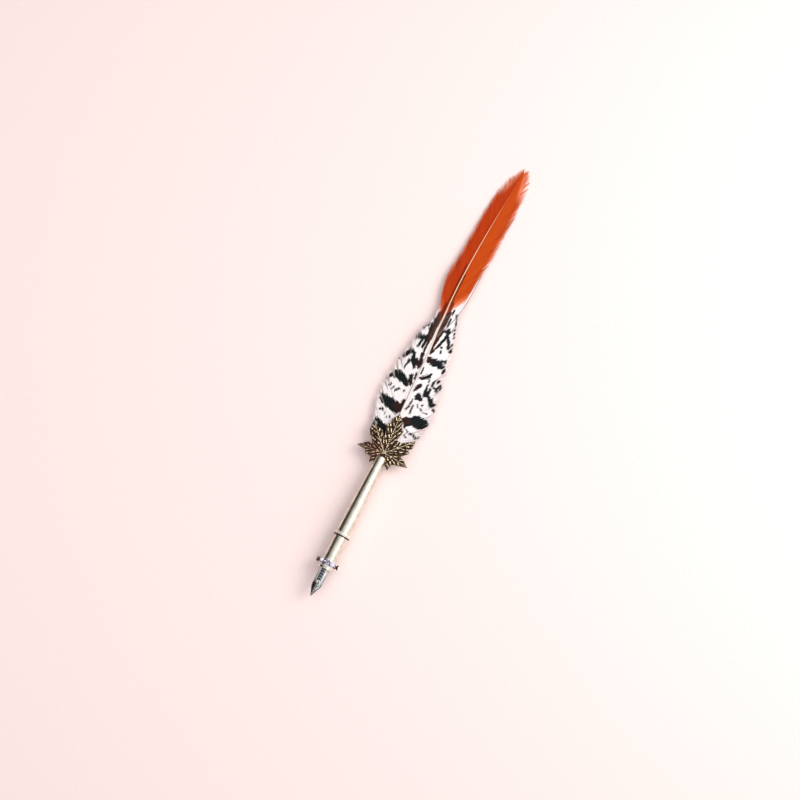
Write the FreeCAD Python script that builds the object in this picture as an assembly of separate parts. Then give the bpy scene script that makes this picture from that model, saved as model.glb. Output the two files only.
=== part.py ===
import FreeCAD, Part
import math
import os

# A feather dip pen, lying flat. Every length is in millimetres.
# +Y runs from the nib to the tip of the feather, +X is to the right, +Z is up.
# The origin is under the middle of the pen, on the surface that it lies on.
# "along" is a distance from the nib's tip, and "radius" is from the metal holder's axis.

# ---- overall -----------------------------------------------------------------
pen_length = 260.0
axis_x = 1.9            # the feather bows to the left, so the holder stands right of the middle
running_clearance = 0.05
overcut = 1.0           # how far a cutting shape reaches past the surface that it opens

# ---- nib ---------------------------------------------------------------------
nib_length = 35.5
nib_radius = 2.65
nib_sheet = 0.25
nib_shoulder = 6.8      # where the straight shank begins
nib_point_width = 0.4
slit_width = 0.1
breather_along = 7.8
breather_radius = 0.45

# ---- grip section ------------------------------------------------------------
flange_start = 15.4
flange_thickness = 1.6
flange_radius = 4.2
flange_lip = 0.6
edge_chamfer = 0.2
nose_radius = 3.4
bead_ring_start = flange_start + flange_thickness
bead_ring_end = 20.9
bead_ring_radius = 3.7
bead_ring_rim = 0.5
bead_ring_rim_radius = 3.85
grip_collar_end = 21.6
grip_collar_radius = 3.9
grip_radius = 3.68
grip_end = 34.0

# ---- stones round the bead ring ------------------------------------------------
stone_count = 6
stone_along = (bead_ring_start + bead_ring_end) / 2
bezel_centre = 5.7
bezel_radius = 1.25
bezel_rim = 6.2
bezel_post_radius = 0.75
stone_girdle_radius = 1.0
stone_table_radius = 0.55
stone_top = 6.85
stone_point = 5.3
stone_facets = 8
stone_seat_gap = 0.02

# ---- nib socket ----------------------------------------------------------------
socket_wall = 0.28
socket_inner = nib_radius + running_clearance
socket_outer = socket_inner + socket_wall
socket_end = 36.5
clutch_outer = nib_radius - nib_sheet - running_clearance
clutch_inner = 1.95
clutch_start = 19.0
clutch_slot_end = 31.5
clutch_slot_width = 0.45
clutch_slots = 2        # each slot crosses the tube, so two make four petals

# ---- middle ring and screw joint -------------------------------------------------
middle_ring_end = 36.3
middle_ring_radius = 4.5
middle_ring_groove = 0.55
middle_ring_beads = 2
thread_radius = 3.35
thread_depth = 0.22
thread_pitch = 1.0
thread_start = 36.8
thread_end = 42.3
thread_bore_end = 43.0
grip_rear_bore = 2.3

# ---- barrel ----------------------------------------------------------------------
barrel_end = 81.0
barrel_outline = ((middle_ring_end, 3.9), (47.0, 3.74), (58.0, 3.42), (75.0, 2.95), (79.4, 2.85))
barrel_mouth_radius = 2.4
barrel_shoulder_drop = 0.12     # the rounded end's middle point, from the last outline point
barrel_shoulder_shift = 0.25
barrel_bore_step = 58.0
barrel_bore_front = 2.75
barrel_bore_rear = 2.3
mouth_slot_start = 75.4

# ---- leaf --------------------------------------------------------------------------
leaf_thickness = 0.7
leaf_slot_gap = 0.02
leaf_heart = (0.15, 83.5)      # where the main veins meet
leaf_vein_width = 0.8
leaf_vein_end_width = 0.4
leaf_vein_rise = 0.15
leaf_hole_along = 81.5
leaf_hole_radius = 0.4
leaf_tip = (-1.5, 105.7)
# (across, along) from the tip down each side to the base
leaf_left = (
    (-4.2, 102.0), (-3.9, 99.3), (-5.7, 98.0), (-3.7, 91.6), (-6.3, 94.4), (-9.6, 95.0),
    (-12.7, 97.2), (-12.6, 91.8), (-11.0, 89.4), (-7.7, 85.6), (-10.3, 85.4), (-14.9, 81.6),
    (-10.2, 81.2), (-8.7, 79.2), (-5.8, 79.2), (-4.9, 75.7), (-3.4, 77.6),
)
leaf_right = (
    (1.9, 102.0), (1.8, 100.2), (4.1, 98.1), (3.0, 92.5), (5.9, 92.1), (8.6, 94.0),
    (12.1, 96.5), (12.3, 92.0), (10.6, 90.4), (12.2, 89.0), (8.4, 85.4), (10.9, 84.4),
    (14.4, 81.8), (8.0, 80.1), (6.1, 79.6), (5.6, 75.7), (3.4, 77.8),
)
leaf_base = 76.2
leaf_vein_ends = (
    (-1.3, 104.5), (-11.8, 96.0), (11.3, 95.2), (-13.2, 82.0), (12.8, 82.2),
)

# ---- feather -----------------------------------------------------------------------
plug_start = 60.0
plug_end = 75.0
quill_start = 62.0
quill_bend_start = 81.0
quill_steps = 24
# (along, across, drop under the holder's axis, radius)
quill_stations = (
    (62.0, 0.0, 1.23, 0.85), (81.0, 0.0, 1.23, 0.85), (95.0, -0.75, 1.23, 0.82),
    (108.0, -1.65, 1.2, 0.76), (140.0, -3.1, 1.2, 0.6), (160.0, -4.6, 1.55, 0.5),
    (182.0, -5.5, 2.25, 0.4), (205.0, -5.2, 3.1, 0.32), (232.0, -3.8, 4.25, 0.22),
    (260.0, -1.7, 5.35, 0.1),
)
# (along, reach of the left vane, reach of the right vane) from the quill's middle
vane_stations = (
    (84.0, 4.0, 4.0), (90.0, 9.0, 9.5), (97.0, 12.8, 13.6), (106.0, 15.0, 16.5),
    (116.0, 16.8, 17.0), (126.0, 15.4, 15.6), (140.0, 12.6, 13.2), (152.0, 9.3, 11.8),
    (162.0, 5.6, 9.8), (170.0, 4.6, 8.2), (180.0, 7.3, 8.2), (190.0, 8.4, 8.8),
    (205.0, 7.3, 9.4), (222.0, 7.6, 9.0), (240.0, 7.4, 7.9), (250.0, 5.9, 6.6),
    (257.5, 2.4, 3.4),
)
vane_steps = 24
vane_root_share = 0.5   # the vane's root lies this far out in the shaft, as a share of its radius
vane_root_half = 0.25
vane_edge_half = 0.2
vane_fall = 0.13        # drop of a vane for each millimetre of its reach


# ---- helpers -------------------------------------------------------------------------
Vector = FreeCAD.Vector
across_axis = Vector(1, 0, 0)
along_axis = Vector(0, 1, 0)
up_axis = Vector(0, 0, 1)
origin = Vector(0, 0, 0)


def turned(profile):
    """A solid of revolution about the holder's axis, from closed (along, radius) points."""
    points = [Vector(radius, along, 0) for along, radius in profile]
    face = Part.Face(Part.makePolygon(points + points[:1]))
    return face.revolve(origin, along_axis, 360)


def rod(radius, start, end):
    return Part.makeCylinder(radius, end - start, Vector(0, start, 0), along_axis)


def tube(outer, inner, start, end):
    return rod(outer, start, end).cut(rod(inner, start, end))


def block(width, start, end, low, high):
    return Part.makeBox(width, end - start, high - low, Vector(-width / 2, start, low))


def plate(outline, low, high):
    """A flat plate from closed (across, along) points."""
    points = [Vector(across, along, low) for across, along in outline]
    return Part.Face(Part.makePolygon(points + points[:1])).extrude(up_axis * (high - low))


def around(shape, angle):
    copy = shape.copy()
    copy.rotate(origin, along_axis, angle)
    return copy


# ---- nib ------------------------------------------------------------------------------
def make_nib():
    half = nib_radius
    point = nib_point_width / 2
    outline = (
        (-point, 0), (point, 0), (half, nib_shoulder), (half, nib_length),
        (-half, nib_length), (-half, nib_shoulder),
    )
    shell = tube(nib_radius, nib_radius - nib_sheet, 0, nib_length)
    nib = shell.common(plate(outline, 0, nib_radius + overcut))
    nib = nib.cut(block(slit_width, 0, breather_along, 0, nib_radius + overcut))
    breather = Part.makeCylinder(
        breather_radius, nib_radius + overcut, Vector(0, breather_along, 0), up_axis)
    return nib.cut(breather)


# ---- nib socket ------------------------------------------------------------------------
def make_nib_socket():
    """The sleeve round the nib's shank, with the stop that the nib's back end meets."""
    start = flange_start + flange_lip
    return turned((
        (start, socket_inner), (start, socket_outer), (socket_end, socket_outer),
        (socket_end, clutch_outer), (nib_length, clutch_outer), (nib_length, socket_inner),
    ))


def make_spring_clutch():
    """Four spring petals, which hold the nib's shank against the socket."""
    clutch = tube(clutch_outer, clutch_inner, clutch_start, socket_end)
    slot = block(clutch_slot_width, clutch_start, clutch_slot_end, -clutch_outer, clutch_outer)
    for index in range(clutch_slots):
        clutch = clutch.cut(around(slot, 180 * (index + 0.5) / clutch_slots))
    return clutch


# ---- grip section ------------------------------------------------------------------------
def make_front_flange():
    end = bead_ring_start
    lip_end = flange_start + flange_lip
    lip_radius = nib_radius + 2 * running_clearance
    shoulder = flange_radius - edge_chamfer
    return turned((
        (flange_start, lip_radius), (flange_start, shoulder),
        (flange_start + edge_chamfer, flange_radius), (end - edge_chamfer, flange_radius),
        (end, shoulder), (end, nose_radius), (lip_end, nose_radius), (lip_end, lip_radius),
    ))


def make_bead_ring():
    """A ring between two rims, with a round setting for each stone."""
    start = bead_ring_start
    end = bead_ring_end
    ring = turned((
        (start, nose_radius), (start, bead_ring_rim_radius),
        (start + bead_ring_rim, bead_ring_rim_radius), (start + bead_ring_rim, bead_ring_radius),
        (end - bead_ring_rim, bead_ring_radius), (end - bead_ring_rim, bead_ring_rim_radius),
        (end, bead_ring_rim_radius), (end, nose_radius),
    ))
    middle = (nose_radius + bead_ring_radius) / 2
    post = Part.makeCylinder(
        bezel_post_radius, bezel_centre - middle, Vector(middle, stone_along, 0), across_axis)
    ball = Part.makeSphere(bezel_radius, Vector(bezel_centre, stone_along, 0))
    outside = Part.makeBox(bezel_radius * 2, bezel_radius * 2, bezel_radius * 2, Vector(
        bezel_rim, stone_along - bezel_radius, -bezel_radius))
    setting = ball.cut(outside).fuse(post)
    seat = make_stone(stone_seat_gap)
    for index in range(stone_count):
        angle = 360 * index / stone_count
        ring = ring.fuse(around(setting, angle)).cut(around(seat, angle))
    return ring.removeSplitter()


def facet_ring(radius, distance):
    """The corners of a stone's facets, in the plane at this distance from the holder's axis."""
    corners = []
    for index in range(stone_facets):
        angle = 2 * math.pi * index / stone_facets
        corners.append(Vector(
            distance, stone_along + radius * math.cos(angle), radius * math.sin(angle)))
    return corners


def make_stone(gap=0.0):
    """One cut stone at angle 0: a flat table, a sloping crown and a pointed back."""
    point = Vector(stone_point - gap, stone_along, 0)
    girdle = facet_ring(stone_girdle_radius + gap, bezel_rim)
    table = facet_ring(stone_table_radius + gap, stone_top)
    faces = [Part.Face(Part.makePolygon(table + table[:1]))]
    for index in range(stone_facets):
        after = (index + 1) % stone_facets
        crown = [girdle[index], girdle[after], table[after], table[index], girdle[index]]
        back = [girdle[after], girdle[index], point, girdle[after]]
        faces.append(Part.Face(Part.makePolygon(crown)))
        faces.append(Part.Face(Part.makePolygon(back)))
    solid = Part.Solid(Part.makeShell(faces))
    if solid.Volume < 0:
        solid.reverse()
    return solid


def make_grip_tube():
    """The nose inside the rings, the part that is held, and the screw at its back."""
    profile = [
        (flange_start + flange_lip, socket_outer), (flange_start + flange_lip, nose_radius),
        (bead_ring_end, nose_radius), (bead_ring_end, grip_collar_radius),
        (grip_collar_end, grip_collar_radius), (grip_collar_end, grip_radius),
        (grip_end, grip_radius), (grip_end, thread_radius),
    ]
    turn_count = int((thread_end - thread_start) / thread_pitch)
    for index in range(turn_count):
        start = thread_start + index * thread_pitch
        profile.append((start, thread_radius))
        profile.append((start + thread_pitch / 2, thread_radius - thread_depth))
    profile.append((thread_start + turn_count * thread_pitch, thread_radius))
    profile.append((thread_end, thread_radius))
    profile.append((thread_end, grip_rear_bore))
    profile.append((socket_end, grip_rear_bore))
    profile.append((socket_end, socket_outer))
    return turned(profile)


# ---- middle ring and barrel ---------------------------------------------------------------
def make_middle_ring():
    """Round beads side by side, loose on the back of the grip."""
    inner = thread_radius + running_clearance
    length = middle_ring_end - grip_end
    bead = length / (2 * middle_ring_beads)
    ring = tube(middle_ring_radius - middle_ring_groove, inner, grip_end, middle_ring_end)
    for index in range(middle_ring_beads):
        along = grip_end + bead * (1 + 2 * index)
        torus = Part.makeTorus(
            middle_ring_radius - bead, bead, Vector(0, along, 0), along_axis)
        ring = ring.fuse(torus)
    return ring.cut(rod(inner, grip_end - overcut, middle_ring_end + overcut)).removeSplitter()


def make_barrel():
    """The tapered tube: threaded in front, drilled behind, and slotted to take the leaf."""
    side = Part.BSplineCurve()
    side.interpolate([Vector(radius, along, 0) for along, radius in barrel_outline])
    side_edge = side.toShape()
    last_along, last_radius = barrel_outline[-1]
    shoulder_middle = (last_along + barrel_end) / 2 + barrel_shoulder_shift
    shoulder = Part.Arc(
        Vector(last_radius, last_along, 0),
        Vector(last_radius - barrel_shoulder_drop, shoulder_middle, 0),
        Vector(barrel_mouth_radius, barrel_end, 0),
    ).toShape()
    first_along, first_radius = barrel_outline[0]
    rest = Part.makePolygon([
        Vector(barrel_mouth_radius, barrel_end, 0), Vector(0, barrel_end, 0),
        Vector(0, first_along, 0), Vector(first_radius, first_along, 0),
    ])
    wire = Part.Wire([side_edge, shoulder] + rest.Edges)
    solid = Part.Face(wire).revolve(origin, along_axis, 360)
    solid = solid.cut(rod(thread_radius + running_clearance, first_along - overcut, thread_bore_end))
    solid = solid.cut(rod(barrel_bore_front, thread_bore_end - overcut, barrel_bore_step))
    solid = solid.cut(rod(barrel_bore_rear, barrel_bore_step - overcut, barrel_end + overcut))
    half_slot = leaf_thickness / 2 + leaf_slot_gap
    slot = block(4 * last_radius, mouth_slot_start, barrel_end + overcut, -half_slot, half_slot)
    return solid.cut(slot)


# ---- leaf ------------------------------------------------------------------------------------
def make_leaf_vein(end, surface):
    """A low rib that narrows from the leaf's heart towards the tip of a lobe."""
    start = Vector(leaf_heart[0], leaf_heart[1], 0)
    run = Vector(end[0], end[1], 0) - start
    sideways = up_axis.cross(run).normalize()
    broad = sideways * (leaf_vein_width / 2)
    narrow = sideways * (leaf_vein_end_width / 2)
    corners = [start + broad, start - broad, start + run - narrow, start + run + narrow]
    outline = [(corner.x, corner.y) for corner in corners]
    return plate(outline, 0, surface + leaf_vein_rise)


def make_leaf():
    """A five-lobed leaf of sheet metal with its main veins raised, gripped in the slot."""
    half = leaf_thickness / 2
    base = [(leaf_left[-1][0], leaf_base), (leaf_right[-1][0], leaf_base)]
    outline = [leaf_tip] + list(leaf_left) + base + list(reversed(leaf_right))
    leaf = plate(outline, -half, half)
    hole = Part.makeCylinder(
        leaf_hole_radius, 4 * half, Vector(leaf_heart[0], leaf_hole_along, -2 * half), up_axis)
    for end in leaf_vein_ends:
        leaf = leaf.fuse(make_leaf_vein(end, half))
    return leaf.cut(hole).removeSplitter()


# ---- feather ---------------------------------------------------------------------------------
def smooth_value(stations, along, column):
    """A value between two stations, on a smooth curve through all of them."""
    last = len(stations) - 1
    index = 0
    while index < last - 1 and along > stations[index + 1][0]:
        index += 1
    before = stations[max(index - 1, 0)]
    first = stations[index]
    second = stations[index + 1]
    after = stations[min(index + 2, last)]
    span = second[0] - first[0]
    share = min(max((along - first[0]) / span, 0.0), 1.0)
    first_slope = (second[column] - before[column]) / (second[0] - before[0]) * span
    second_slope = (after[column] - first[column]) / (after[0] - first[0]) * span
    change = second[column] - first[column]
    curve = share * first_slope + share ** 2 * (3 * change - 2 * first_slope - second_slope)
    return first[column] + curve + share ** 3 * (first_slope + second_slope - 2 * change)


def evenly(start, end, count):
    return [start + (end - start) * index / count for index in range(count + 1)]


def make_quill_plug():
    """Cork in the barrel, drilled off centre for the quill, which lies under the leaf."""
    plug = rod(barrel_bore_rear, plug_start, plug_end)
    _, across, drop, radius = quill_stations[0]
    hole = Part.makeCylinder(
        radius, plug_end - quill_start, Vector(across, quill_start, -drop), along_axis)
    return plug.cut(hole)


def quill_at(along):
    """The quill's middle, its drop under the holder's axis and its radius."""
    return [smooth_value(quill_stations, along, column) for column in (1, 2, 3)]


def make_quill_shaft():
    """The bare quill in the barrel and the shaft that carries the barbs."""
    circles = []
    for along in [quill_start] + evenly(quill_bend_start, pen_length, quill_steps):
        across, drop, radius = quill_at(along)
        circle = Part.makeCircle(radius, Vector(across, along, -drop), along_axis)
        circles.append(Part.Wire(circle))
    return Part.makeLoft(circles, True, True)


def make_vane(side, shaft):
    """One side of the feather, as a thin sheet that falls away from the shaft."""
    column = 2 if side > 0 else 1
    sections = []
    for along in evenly(vane_stations[0][0], vane_stations[-1][0], vane_steps):
        reach = smooth_value(vane_stations, along, column)
        middle, drop, radius = quill_at(along)
        root = middle + side * radius * vane_root_share
        edge = middle + side * reach
        edge_drop = drop + reach * vane_fall
        corners = [
            Vector(root, along, -drop + vane_root_half),
            Vector(edge, along, -edge_drop + vane_edge_half),
            Vector(edge, along, -edge_drop - vane_edge_half),
            Vector(root, along, -drop - vane_root_half),
        ]
        sections.append(Part.makePolygon(corners + corners[:1]))
    return Part.makeLoft(sections, True, True).cut(shaft)


# ---- the whole pen -----------------------------------------------------------------------------
def stone_bottom():
    """How far the two lower stones reach below the holder's axis."""
    tilt = math.radians(180 / stone_count)
    return stone_top * math.cos(tilt) + stone_table_radius * math.sin(tilt)


def make_all():
    shaft = make_quill_shaft()
    nodes = {
        "nib": make_nib(),
        "nib_socket": make_nib_socket(),
        "spring_clutch": make_spring_clutch(),
        "front_flange": make_front_flange(),
        "bead_ring": make_bead_ring(),
        "grip_tube": make_grip_tube(),
        "middle_ring": make_middle_ring(),
        "barrel_tube": make_barrel(),
        "maple_leaf": make_leaf(),
        "quill_plug": make_quill_plug(),
        "quill_shaft": shaft,
        "vane_left": make_vane(-1, shaft),
        "vane_right": make_vane(1, shaft),
    }
    stone = make_stone()
    for index in range(stone_count):
        nodes["stone_%d" % (index + 1)] = around(stone, 360 * index / stone_count)
    return nodes


def main():
    os.makedirs("parts", exist_ok=True)
    place = Vector(axis_x, -pen_length / 2, stone_bottom())
    for name, shape in make_all().items():
        shape.translate(place)
        solids = shape.Solids
        print(name, len(solids), shape.isValid(), round(shape.Volume, 2), shape.BoundBox)
        shape.exportStep("parts/%s.step" % name)


main()
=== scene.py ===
import math

import bpy
import numpy as np
from mathutils import Matrix, Vector


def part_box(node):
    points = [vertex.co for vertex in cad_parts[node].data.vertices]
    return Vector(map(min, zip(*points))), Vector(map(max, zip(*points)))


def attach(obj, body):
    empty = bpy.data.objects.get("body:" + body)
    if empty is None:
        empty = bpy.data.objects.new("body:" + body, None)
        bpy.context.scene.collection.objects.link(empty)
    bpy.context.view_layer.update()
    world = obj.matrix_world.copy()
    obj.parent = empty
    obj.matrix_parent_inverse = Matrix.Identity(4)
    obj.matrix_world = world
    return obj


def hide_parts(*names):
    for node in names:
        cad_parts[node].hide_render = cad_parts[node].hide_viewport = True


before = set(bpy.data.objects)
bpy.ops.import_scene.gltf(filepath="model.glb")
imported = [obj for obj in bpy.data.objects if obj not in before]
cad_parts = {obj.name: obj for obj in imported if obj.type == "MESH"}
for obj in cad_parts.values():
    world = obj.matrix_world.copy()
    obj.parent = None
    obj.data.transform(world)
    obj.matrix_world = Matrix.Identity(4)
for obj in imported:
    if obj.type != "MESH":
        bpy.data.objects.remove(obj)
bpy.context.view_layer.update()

# ---- the frame: across and height from the holder's axis, along from the nib's point, in mm ----
MM = 0.001
grip_low, grip_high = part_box("grip_tube")
nib_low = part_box("nib")[0]
axis_x = (grip_low.x + grip_high.x) / 2
axis_z = (grip_low.z + grip_high.z) / 2
place = np.array((axis_x, nib_low.y, axis_z))
rng = np.random.default_rng(7)

pen_length = 260.0
quill_start = 62.0
quill_mouth = 81.0

# the quill's middle: (along, across, drop under the holder's axis, radius)
quill_stations = (
    (quill_start, 0.0, 1.23, 0.85), (quill_mouth, 0.0, 1.23, 0.85), (95.0, -0.75, 1.23, 0.82),
    (108.0, -1.65, 1.2, 0.76), (140.0, -3.1, 1.2, 0.6), (160.0, -4.6, 1.55, 0.5),
    (182.0, -5.5, 2.25, 0.4), (205.0, -5.2, 3.1, 0.32), (232.0, -3.8, 4.25, 0.22),
    (pen_length, -1.7, 5.35, 0.1),
)
# (along, reach of the left vane, reach of the right vane) from the quill's middle
vane_stations = (
    (84.0, 4.0, 4.0), (90.0, 9.0, 9.5), (97.0, 12.8, 13.6), (106.0, 15.0, 16.5),
    (116.0, 16.8, 17.0), (126.0, 15.4, 15.6), (140.0, 12.6, 13.2), (152.0, 9.3, 11.8),
    (162.0, 5.6, 9.8), (170.0, 4.6, 8.2), (180.0, 7.3, 8.2), (190.0, 8.4, 8.8),
    (205.0, 7.3, 9.4), (222.0, 7.6, 9.0), (240.0, 7.4, 7.9), (250.0, 5.9, 6.6),
    (257.5, 2.4, 3.4), (259.5, 1.2, 1.6),
)
# (root along the quill, how much further along the barb's tip lies)
lean_stations = (
    (82.0, 7.0), (90.0, 10.0), (105.0, 14.0), (125.0, 17.5), (150.0, 18.5), (200.0, 18.5),
    (225.0, 17.0), (240.0, 12.5), (250.0, 7.8), (256.0, 4.1),
)
# how far a vane falls for each mm out from the quill
vane_fall = 0.13


def smooth_value(stations, along, column):
    """Values between stations, on a smooth curve through all of them."""
    table = np.array(stations)
    along = np.asarray(along, float)
    last = len(table) - 1
    index = np.clip(np.searchsorted(table[:, 0], along) - 1, 0, last - 1)
    before = table[np.maximum(index - 1, 0)]
    first = table[index]
    second = table[index + 1]
    after = table[np.minimum(index + 2, last)]
    span = second[..., 0] - first[..., 0]
    share = np.clip((along - first[..., 0]) / span, 0, 1)
    change = second[..., column] - first[..., column]
    first_slope = (second - before)[..., column] / (second - before)[..., 0] * span
    second_slope = (after - first)[..., column] / (after - first)[..., 0] * span
    curve = share * first_slope + share ** 2 * (3 * change - 2 * first_slope - second_slope)
    return first[..., column] + curve + share ** 3 * (first_slope + second_slope - 2 * change)


def wave_of(value, pitch):
    return np.cos(value * 2 * math.pi / pitch)


def ridge(distance, half):
    """1 on a line, fading on both sides of it."""
    return np.exp(-(distance / half) ** 2)


def smooth_step(low, high, value):
    """0 at low and 1 at high, with a smooth rise (or fall, where high is the smaller) between."""
    share = np.clip((value - low) / (high - low), 0, 1)
    return share * share * (3 - 2 * share)


# ---- meshes ----
def new_piece(name, points, faces, body, material, node, values):
    """A mesh piece in place of a CAD node, from points in (across, along, height) and float
    values for its points."""
    mesh = bpy.data.meshes.new(name)
    mesh.from_pydata((np.asarray(points) * MM + place).tolist(), [], faces)
    for key, numbers in values.items():
        layer = mesh.attributes.new(key, "FLOAT", "POINT")
        layer.data.foreach_set("value", np.asarray(numbers, np.float32))
    mesh.validate()
    mesh.polygons.foreach_set("use_smooth", [True] * len(mesh.polygons))
    mesh.materials.append(material)
    piece = bpy.data.objects.new(name, mesh)
    bpy.context.scene.collection.objects.link(piece)
    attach(piece, body)
    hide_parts(node)


# ---- materials ----
class Look:
    """A node material: its shader, and short ways to make and link nodes."""

    def __init__(self, name, **values):
        self.material = bpy.data.materials.new(name)
        self.material.use_nodes = True
        self.tree = self.material.node_tree
        self.shader = self.tree.nodes["Principled BSDF"]
        for socket, value in values.items():
            self.shader.inputs[socket.replace("_", " ")].default_value = value
        coordinates = self.tree.nodes.new("ShaderNodeTexCoord")
        self.mm = self.vector_math("SCALE", coordinates.outputs["Object"], scale=1 / MM)

    def put(self, socket, value):
        """Links value to a socket if it is an output, or else sets it."""
        if isinstance(value, bpy.types.NodeSocket):
            self.tree.links.new(value, socket)
        elif value is not None:
            socket.default_value = value

    def vector_math(self, operation, first, second=None, scale=None):
        node = self.tree.nodes.new("ShaderNodeVectorMath")
        node.operation = operation
        self.put(node.inputs[0], first)
        self.put(node.inputs[1], second)
        if scale is not None:
            self.put(node.inputs["Scale"], scale)
        return node.outputs["Value" if operation == "LENGTH" else "Vector"]

    def math(self, operation, first, second):
        node = self.tree.nodes.new("ShaderNodeMath")
        node.operation = operation
        self.put(node.inputs[0], first)
        self.put(node.inputs[1], second)
        return node.outputs[0]

    def from_axis(self):
        """Distances along the holder from the nib's point, and out from its axis, in mm."""
        local = self.vector_math("SUBTRACT", self.mm, tuple(place / MM))
        parts = self.tree.nodes.new("ShaderNodeSeparateXYZ")
        self.put(parts.inputs[0], local)
        outward = self.vector_math("MULTIPLY", local, (1, 0, 1))
        return parts.outputs["Y"], self.vector_math("LENGTH", outward)

    def attribute(self, name):
        node = self.tree.nodes.new("ShaderNodeAttribute")
        node.attribute_name = name
        return node.outputs["Fac"]

    def noise(self, scale, stretch=(1, 1, 1), detail=3.0, roughness=0.5):
        """Noise whose grain is 1/scale mm, longer where stretch is small."""
        node = self.tree.nodes.new("ShaderNodeTexNoise")
        self.put(node.inputs["Vector"], self.vector_math("MULTIPLY", self.mm, stretch))
        self.put(node.inputs["Scale"], scale)
        self.put(node.inputs["Detail"], detail)
        self.put(node.inputs["Roughness"], roughness)
        return node.outputs["Fac"]

    def spread(self, value, low, high, to_low=0.0, to_high=1.0):
        """Maps low to high onto to_low to to_high, and holds the ends."""
        node = self.tree.nodes.new("ShaderNodeMapRange")
        for socket, number in zip(node.inputs, (value, low, high, to_low, to_high)):
            self.put(socket, number)
        return node.outputs[0]

    def cloud(self, scale, low, high, **grain):
        """Noise of this scale, 0 under low and 1 over high."""
        return self.spread(self.noise(scale, **grain), low, high)

    def mix(self, share, first, second):
        node = self.tree.nodes.new("ShaderNodeMix")
        node.data_type = "RGBA"
        self.put(node.inputs["Factor"], share)
        self.put(node.inputs[6], first)
        self.put(node.inputs[7], second)
        return node.outputs[2]

    def bump(self, height, distance, strength=1.0):
        """Raises the surface by distance in mm where height is 1."""
        node = self.tree.nodes.new("ShaderNodeBump")
        self.put(node.inputs["Height"], height)
        node.inputs["Distance"].default_value = distance * MM
        node.inputs["Strength"].default_value = strength
        self.put(self.shader.inputs["Normal"], node.outputs[0])

    def set(self, **sockets):
        """Sets or links the shader's sockets, and gives the finished material."""
        for socket, value in sockets.items():
            self.put(self.shader.inputs[socket.replace("_", " ")], value)
        return self.material


def tint(red, green, blue):
    """A display colour of 0 to 255 as the shader's linear colour."""
    def linear(value):
        return ((value / 255 + 0.055) / 1.055) ** 2.4 if value > 10 else value / 255 / 12.92
    return (linear(red), linear(green), linear(blue), 1.0)


# where the rings' colour changes, in mm along the holder or out from its axis: the plating, the
# painted shade and reflection on the middle ring's front bead, the painted shade in its grooves and
# in the bead ring's recess, and the bead ring's settings, painted dark brown as shade and reflection
middle_ring_shaded_bead = (34.85, 34.65)
middle_ring_groove_shade = (4.12, 3.98)
bead_ring_recess = (3.81, 3.76)
bead_ring_settings = (4.1, 4.6)
bead_ring_rims = (6.1, 6.16)


def satin_metal(name, light, dark, roughness):
    """Plated metal, with fine turning marks round the tube, cloudy tone and small scuffs."""
    look = Look(name, Metallic=1.0)
    cloud = look.cloud(0.35, 0.35, 0.7, detail=4)
    turned = look.noise(6.0, (0.15, 2.0, 0.15), detail=2)
    scuff = look.cloud(1.1, 0.6, 0.72, stretch=(1, 0.25, 1), detail=5, roughness=0.7)
    tone = look.mix(cloud, light, dark)
    tone = look.mix(look.math("MULTIPLY", scuff, 0.5), tone, dark)
    sheen = look.math("ADD", look.math("MULTIPLY", turned, 0.12), roughness - 0.06)
    sheen = look.math("ADD", sheen, look.math("MULTIPLY", scuff, 0.1))
    look.bump(turned, 0.006)
    return look.set(Base_Color=tone, Roughness=sheen)


def polished_metal(name, light, dark, roughness):
    """Bright metal with a cloudy tone and faint dents."""
    look = Look(name, Metallic=1.0)
    cloud = look.cloud(1.5, 0.35, 0.7, detail=5, roughness=0.6)
    look.bump(look.noise(4.0, detail=2), 0.01)
    sheen = look.spread(cloud, 0, 1, roughness, roughness * 1.6)
    return look.set(Base_Color=look.mix(cloud, light, dark), Roughness=sheen)


def middle_ring_plate():
    """A bright rear bead and a front bead painted dark brown as painted shade and reflection, with
    painted shade darkening the grooves.
    """
    look = Look("middle_ring_plate", Metallic=0.55)
    along, radius = look.from_axis()
    cloud = look.cloud(1.1, 0.35, 0.7, detail=4)
    bright = look.mix(cloud, tint(255, 253, 246), tint(232, 226, 212))
    # painted shade and reflection: the front bead's dark brown
    brown = look.mix(cloud, tint(88, 68, 48), tint(58, 44, 32))
    tone = look.mix(look.spread(along, *middle_ring_shaded_bead), bright, brown)
    # painted shade darkening the grooves
    tone = look.mix(look.spread(radius, *middle_ring_groove_shade, 0.0, 0.85), tone, tint(44, 34, 26))
    return look.set(Base_Color=tone, Roughness=look.spread(cloud, 0, 1, 0.2, 0.32))


def bead_ring_plate():
    """A bright ring with violet painted shade in the recess between its rims, and settings that stand
    out, painted dark brown as shade and reflection.
    """
    look = Look("bead_ring_plate", Metallic=0.8)
    along, radius = look.from_axis()
    cloud = look.cloud(1.5, 0.35, 0.7, detail=5, roughness=0.6)
    silver = look.mix(cloud, tint(255, 253, 255), tint(226, 220, 228))
    # painted shade: dark violet in the recess between the rims
    recess_shade = look.mix(look.spread(cloud, 0.3, 0.7), tint(236, 232, 244), tint(44, 36, 60))
    ring = look.mix(look.spread(radius, *bead_ring_recess), silver, recess_shade)
    # painted shade and reflection: the settings' dark brown
    knob_shade = look.mix(cloud, tint(120, 88, 72), tint(62, 42, 34))
    rimmed = look.mix(look.spread(radius, *bead_ring_rims), knob_shade, silver)
    look.bump(look.noise(4.0, detail=2), 0.01)
    tone = look.mix(look.spread(radius, *bead_ring_settings), ring, rimmed)
    return look.set(Base_Color=tone, Roughness=look.spread(cloud, 0, 1, 0.14, 0.24))


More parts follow.
